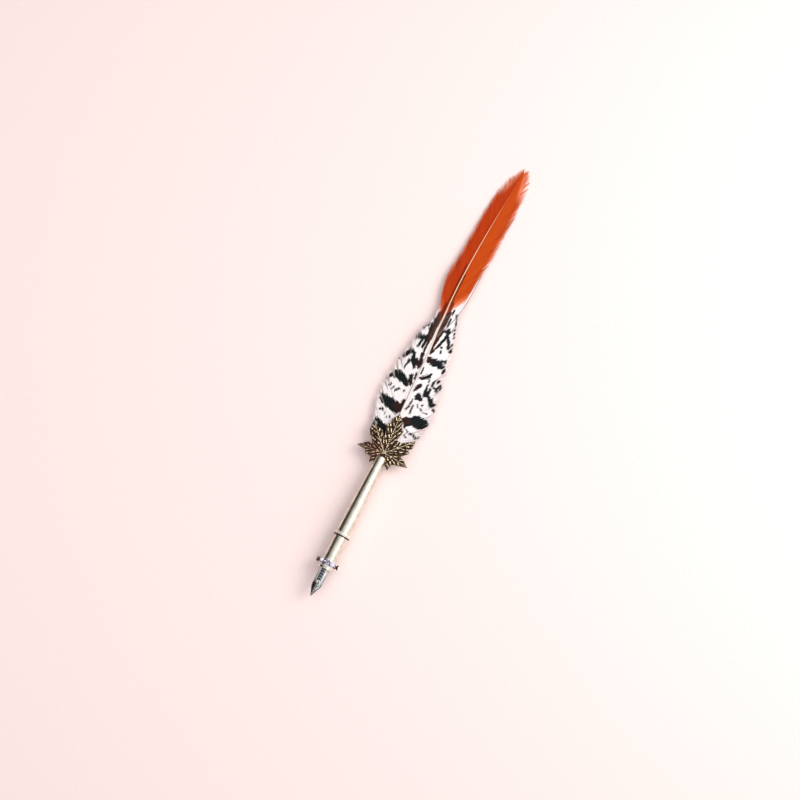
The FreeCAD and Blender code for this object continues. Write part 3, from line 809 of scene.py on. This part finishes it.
def cut_plate(outline, columns, rows, hole, hole_radius):
    """A grid trimmed to an outline and a round hole: flat points, their distance to the rim, quads
    and rim edges."""
    x, y = np.meshgrid(columns, rows)
    inner, near_x, near_y = outline_distance(x, y, outline)
    cell = min(np.diff(columns).min(), np.diff(rows).min())
    to_hole = np.hypot(x - hole[0], y - hole[1]) - hole_radius
    keep = (inner > -0.5 * cell) & (to_hole > -0.5 * cell)
    full = keep[:-1, :-1] & keep[1:, :-1] & keep[:-1, 1:] & keep[1:, 1:]
    wide = x.shape[1]
    row, column = np.nonzero(full)
    first = row * wide + column
    quads = np.stack((first, first + 1, first + 1 + wide, first + wide), -1)
    used = np.zeros(x.size, int)
    np.add.at(used, quads.ravel(), 1)
    border = (used > 0) & (used < 4)
    flat_x, flat_y = x.ravel().copy(), y.ravel().copy()
    near_hole = border & (to_hole.ravel() < cell * 2)
    rim = border & ~near_hole
    flat_x[rim] = near_x.ravel()[rim]
    flat_y[rim] = near_y.ravel()[rim]
    angle = np.arctan2(flat_y - hole[1], flat_x - hole[0])
    flat_x[near_hole] = hole[0] + hole_radius * np.cos(angle[near_hole])
    flat_y[near_hole] = hole[1] + hole_radius * np.sin(angle[near_hole])
    inner = np.minimum(inner, to_hole).ravel()
    inner = np.where(border, 0.0, np.maximum(inner, 0.02))
    chosen = np.nonzero(used)[0]
    number = np.zeros(x.size, int)
    number[chosen] = np.arange(len(chosen))
    quads = number[quads]
    edges = set()
    for quad in quads.tolist():
        for edge in zip(quad, quad[1:] + quad[:1]):
            if edge[::-1] in edges:
                edges.remove(edge[::-1])
            else:
                edges.add(edge)
    return flat_x[chosen], flat_y[chosen], inner[chosen], quads, sorted(edges)


def close_plate(top, under, quads, edges):
    """Points and faces of a closed sheet between its upper and lower points."""
    count = len(top)
    faces = quads.tolist() + (quads[:, ::-1] + count).tolist()
    faces += [(second, first, first + count, second + count) for first, second in edges]
    return np.concatenate((top, under)), faces


def leaf_relief(x, y, inner):
    """Height of the cast pattern over the flat leaf, 0 to 1: veins, short ribs and a rim."""
    best = np.full(x.shape, 1e9)
    ribs = np.zeros(x.shape)
    for index, (end_x, end_y) in enumerate(leaf_vein_ends):
        run = np.array((end_x - leaf_heart[0], end_y - leaf_heart[1]))
        length = math.hypot(*run)
        run = run / length
        a = (x - leaf_heart[0]) * run[0] + (y - leaf_heart[1]) * run[1]
        b = (x - leaf_heart[0]) * run[1] - (y - leaf_heart[1]) * run[0]
        reach = np.where(a < 0, np.hypot(a, b), np.abs(b))
        closer = reach < best
        best = np.where(closer, reach, best)
        bend = 0.22 * wander(a * 0.9 + b * 1.7, 31 + index)
        stagger = 0.8 * wander(a * 1.1 - b * 1.5, 61 + index)
        wave = wave_of(leaf_rib_slope * a - np.abs(b) + bend, leaf_rib_pitch)
        gap = wave_of(a + 0.4 * np.abs(b) + stagger, leaf_gap_pitch)
        pattern = 0.9 * smooth_step(-0.05, 0.6, wave) * (0.15 + 0.85 * smooth_step(-0.75, -0.1, gap))
        # the middle vein is broader, and a row of beads
        half = 0.34 if index == 0 else 0.24
        bead = smooth_step(-0.7, 0.5, wave_of(a, leaf_bead_pitch)) if index == 0 else 0.8
        vein = ridge(b, half) * (a > -0.5) * (a < length)
        pattern = np.maximum(pattern * (1 - vein), vein * (0.3 + 0.7 * bead))
        ribs = np.where(closer, pattern, ribs)
    return np.maximum(ribs, 0.5 * ridge(inner - 0.28, 0.17))


def make_leaf():
    outline = [leaf_tip, *leaf_right, *leaf_base, *leaf_left[::-1]]
    columns = np.arange(*leaf_columns, leaf_cell)
    rows = np.arange(*leaf_rows, leaf_cell)
    x, y, inner, quads, edges = cut_plate(outline, columns, rows, leaf_hole, leaf_hole_radius)
    relief = leaf_relief(x, y, inner)
    bevel = smooth_step(0.0, 0.35, inner)
    droop = leaf_droop * np.maximum(np.abs(x) - leaf_flat_half, 0) ** 2
    lobe = 0.14 * wander(x * 0.45 + y * 0.2, 21) * smooth_step(3, 7, np.abs(x))
    in_slot = smooth_step(*slot_end, y) * smooth_step(*slot_side, np.abs(x))
    raised = (0.05 + leaf_raised * relief) * bevel * (1 - in_slot)
    height = lobe - droop
    half = leaf_half - leaf_bevel * (1 - bevel)
    top = np.stack((x, y, half + raised + height), -1)
    under = np.stack((x, y, -half + height), -1)
    points, faces = close_plate(top, under, quads, edges)
    reddish = smooth_step(2.5, -5.0, x + 0.3 * (y - 84)) * smooth_step(95, 84, y)
    # the underside has no ribs, and is rubbed all over
    values = {"relief": np.concatenate((relief * bevel, np.full(len(x), 0.45))),
              "redness": np.tile(reddish, 2)}
    new_piece("maple_leaf_cast", points, faces, "holder", leaf_look,
              "maple_leaf", values)


# ---- the nib ----
nib_radius = 2.65
nib_sheet = 0.25
nib_length = 35.5
nib_shoulder = 6.8
nib_point_half = 0.2
nib_slit_half = 0.05
nib_breather = (0.0, 7.8)
nib_breather_radius = 0.45
nib_seen = 17.0
nib_stamp = 0.1
# the sheet's outer side is taken in by this, to clear the socket
nib_clear = 0.03
# the pressed panel: where it starts, ends and fades at its sides, its border and its rungs
nib_panel_start = (8.9, 9.4)
nib_panel_end = (23.0, 22.5)
nib_panel_side = (1.35, 1.2)
nib_border = 1.45
nib_rung_pitch = 1.5
nib_rung_slope = 0.55


def nib_relief(x, y, inner):
    """Pressed pattern on the unrolled nib: 1 stands proud, -1 is a hollow."""
    aside = np.abs(x)
    panel = smooth_step(*nib_panel_start, y) * smooth_step(*nib_panel_end, y)
    rung = wave_of(y + nib_rung_slope * aside, nib_rung_pitch)
    field = smooth_step(*nib_panel_side, aside)
    relief = panel * field * (1.3 * smooth_step(-0.35, 0.55, rung) - 0.9)
    border = ridge(aside - nib_border, 0.13) * panel
    relief = relief * (1 - border) + 0.8 * border
    ring = np.hypot(x - nib_breather[0], y - nib_breather[1])
    relief = np.maximum(relief, ridge(ring - 0.78, 0.16))
    groove = ridge(aside - 2.35 - 0.05 * (y - 7), 0.12)
    groove = groove * smooth_step(5.6, 6.4, y) * smooth_step(13.5, 12.0, y)
    arch = ridge(y - 5.0 - 0.55 * aside, 0.2) * smooth_step(1.9, 1.5, aside)
    return (relief - groove - 0.7 * arch) * smooth_step(0.05, 0.3, inner)


def make_nib():
    """The rolled steel sheet, with its slit, breather hole, shoulders and pressed pattern."""
    def unrolled(plan):
        return nib_radius * math.asin(min(plan / nib_radius, 1.0))
    widening = nib_radius - nib_point_half
    side = [(unrolled(nib_point_half + widening * y / nib_shoulder), y)
            for y in np.linspace(0, nib_shoulder, 12)]
    side.append((side[-1][0], nib_length))
    slit_end = nib_breather[1] - nib_breather_radius * 0.9
    outline = [(nib_slit_half, slit_end), (nib_slit_half, 0.0)] + side
    outline += [(-x, y) for x, y in outline[::-1]]
    wide = side[-1][0]
    columns = np.linspace(-wide, wide, 109)
    rows = np.concatenate((np.arange(0, nib_seen, 0.1), np.linspace(nib_seen, nib_length, 24)))
    x, y, inner, quads, edges = cut_plate(outline, columns, rows, nib_breather, nib_breather_radius)
    relief = nib_relief(x, y, inner) * smooth_step(nib_seen - 0.5, nib_seen - 1.5, y)
    # the seen part is pressed flatter on top, with steeper sides; in the socket it is round
    square = 0.45 * smooth_step(14.6, 12.0, y) * smooth_step(0.0, 5.0, y)
    angle = x / nib_radius
    swell = 1 + square * (1 / np.maximum(np.abs(np.sin(angle)), np.abs(np.cos(angle))) - 1) * 0.5
    outer = (nib_radius - nib_clear) * swell + nib_stamp * relief
    inside = (nib_radius - nib_clear) * swell + nib_clear - nib_sheet
    top = np.stack((np.sin(angle) * outer, y, np.cos(angle) * outer), -1)
    under = np.stack((np.sin(angle) * inside, y, np.cos(angle) * inside), -1)
    points, faces = close_plate(top, under, quads, edges)

    # painted shade: the pressed hollows, the sunken panel (less on its rungs), the edge at positive x
    # and the sheet's inside are darkened; besides the shade, dark specks on the tines
    panel = smooth_step(8.7, 9.2, y) * smooth_step(1.4, 1.2, np.abs(x))
    panel = panel * (0.97 - 0.3 * smooth_step(0.0, 0.5, relief))
    plan = np.sin(angle) * nib_radius
    edge_line = smooth_step(0.75, 0.35, inner) * smooth_step(0.0, 0.4, plan)
    tines = smooth_step(8.6, 7.0, y)
    speckle = wander(x * 3.1 + y * 2.3, 41) + wander(y * 3.7 - x * 2.9, 43)
    speckle = 0.75 * (tines * smooth_step(-0.1, 0.5, speckle))
    low = smooth_step(0.35, -0.4, relief) * 0.95
    hollow = np.maximum.reduce((low, panel, 0.95 * edge_line, speckle))
    # painted shade: the tines' left side greyed brown
    left_tine_shade = tines * smooth_step(0.4, -0.4, plan)
    # the sheet's inside gets an even painted shade
    values = {"hollow": np.concatenate((hollow, np.full(len(x), 0.3))),
              "left_tine_shade": np.concatenate((left_tine_shade, 0 * left_tine_shade))}
    new_piece("nib_pressed", points, faces, "nib", nib_look, "nib", values)


# ---- materials on the CAD nodes ----
def dress(material, *names):
    for name in names:
        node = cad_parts[name]
        node.data.materials.clear()
        node.data.materials.append(material)


vane_look = feather_barbs()
quill_look = quill_horn()
leaf_look = aged_bronze()
nib_look = nib_steel()
champagne = satin_metal("champagne_plate", tint(238, 232, 214), tint(214, 204, 184), 0.27)
dress(champagne, "barrel_tube", "grip_tube", "front_flange")
dress(middle_ring_plate(), "middle_ring")
dress(bead_ring_plate(), "bead_ring")
dress(satin_metal("socket_brass", tint(224, 196, 130), tint(176, 142, 80), 0.3), "nib_socket")
dress(polished_metal("clutch_steel", tint(200, 202, 204), tint(150, 152, 156), 0.2),
      "spring_clutch")
dress(crystal(), *(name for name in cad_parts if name.startswith("stone_")))
dress(cork(), "quill_plug")

make_shaft()
make_vane(-1, "feather_barbs_left", "vane_left")
make_vane(1, "feather_barbs_right", "vane_right")
make_leaf()
make_nib()


# ---- floor, light and camera: the camera's place in mm, the rest in metres ----
floor_half = 3.0
# the room is bright towards here, and dark on the other side
bright_side = (0.62, 0.12, 0.72)
room_dark = 0.05
room_bright = 0.95
camera_place = (112.7, -186.4, 858.5)
camera_way = (-0.1323, 0.1928, -0.9723)
camera_up = (-0.4276, 0.8738, 0.2315)
camera_lens = 75.0
camera_sensor = 36.0


def make_floor():
    look = Look("floor_paper", Roughness=0.75, Specular_IOR_Level=0.2)
    fibre = look.cloud(0.8, 0.3, 0.7, detail=5)
    paper = look.set(Base_Color=look.mix(fibre, tint(251, 229, 225), tint(247, 224, 220)))
    mesh = bpy.data.meshes.new("floor")
    corners = [(x * floor_half, y * floor_half, 0) for x, y in ((-1, -1), (1, -1), (1, 1), (-1, 1))]
    mesh.from_pydata(corners, [], [(0, 1, 2, 3)])
    mesh.materials.append(paper)
    floor = bpy.data.objects.new("floor", mesh)
    bpy.context.scene.collection.objects.link(floor)


def make_light(name, where, size, power, colour):
    """A soft square lamp that faces the middle of the pen."""
    data = bpy.data.lights.new(name, "AREA")
    data.size = size
    data.energy = power
    data.color = colour
    lamp = bpy.data.objects.new(name, data)
    lamp.location = where
    lamp.rotation_mode = "QUATERNION"
    lamp.rotation_quaternion = (-Vector(where)).to_track_quat("-Z", "Y")
    bpy.context.scene.collection.objects.link(lamp)
    return lamp


def make_world():
    """A bright room to the right and above, darker to the left, and a pale wall for the camera."""
    world = bpy.data.worlds.new("studio")
    world.use_nodes = True
    tree = world.node_tree
    room = tree.nodes["Background"]
    wall = tree.nodes.new("ShaderNodeBackground")
    wall.inputs["Color"].default_value = tint(252, 246, 244)
    way = tree.nodes.new("ShaderNodeTexCoord")
    toward = tree.nodes.new("ShaderNodeVectorMath")
    toward.operation = "DOT_PRODUCT"
    toward.inputs[1].default_value = Vector(bright_side).normalized()
    level = tree.nodes.new("ShaderNodeMapRange")
    level.interpolation_type = "SMOOTHSTEP"
    for socket, number in zip(level.inputs[1:], (0.05, 0.8, room_dark, room_bright)):
        socket.default_value = number
    seen = tree.nodes.new("ShaderNodeLightPath")
    blend = tree.nodes.new("ShaderNodeMixShader")
    links = (
        (way.outputs["Generated"], toward.inputs[0]), (toward.outputs["Value"], level.inputs[0]),
        (level.outputs[0], room.inputs["Strength"]), (seen.outputs["Is Camera Ray"], blend.inputs[0]),
        (room.outputs[0], blend.inputs[1]), (wall.outputs[0], blend.inputs[2]),
        (blend.outputs[0], tree.nodes["World Output"].inputs[0]),
    )
    for start, end in links:
        tree.links.new(start, end)
    room.inputs["Color"].default_value = (0.96, 0.97, 1.0, 1.0)
    bpy.context.scene.world = world


def make_camera():
    looking = Vector(camera_way).normalized()
    right = looking.cross(Vector(camera_up).normalized()).normalized()
    up = right.cross(looking)
    turn = Matrix((right, up, -looking)).transposed().to_4x4()
    data = bpy.data.cameras.new("camera")
    data.lens = camera_lens
    data.sensor_width = camera_sensor
    data.clip_start, data.clip_end = 0.01, 20.0
    camera = bpy.data.objects.new("camera", data)
    camera.matrix_world = Matrix.Translation(Vector(camera_place) * MM) @ turn
    bpy.context.scene.collection.objects.link(camera)
    bpy.context.scene.camera = camera


make_floor()
make_light("key", where=(0.48, 0.28, 0.53), size=0.5, power=3.9, colour=(1.0, 0.985, 0.96))
fill = make_light("fill", where=(-0.3, -0.1, 0.75), size=0.9, power=2.2, colour=(1.0, 0.99, 0.99))
# the metal reflects the dark side of the room, and not this lamp
fill.visible_glossy = False
make_world()
make_camera()
bpy.context.scene.view_settings.view_transform = "Standard"
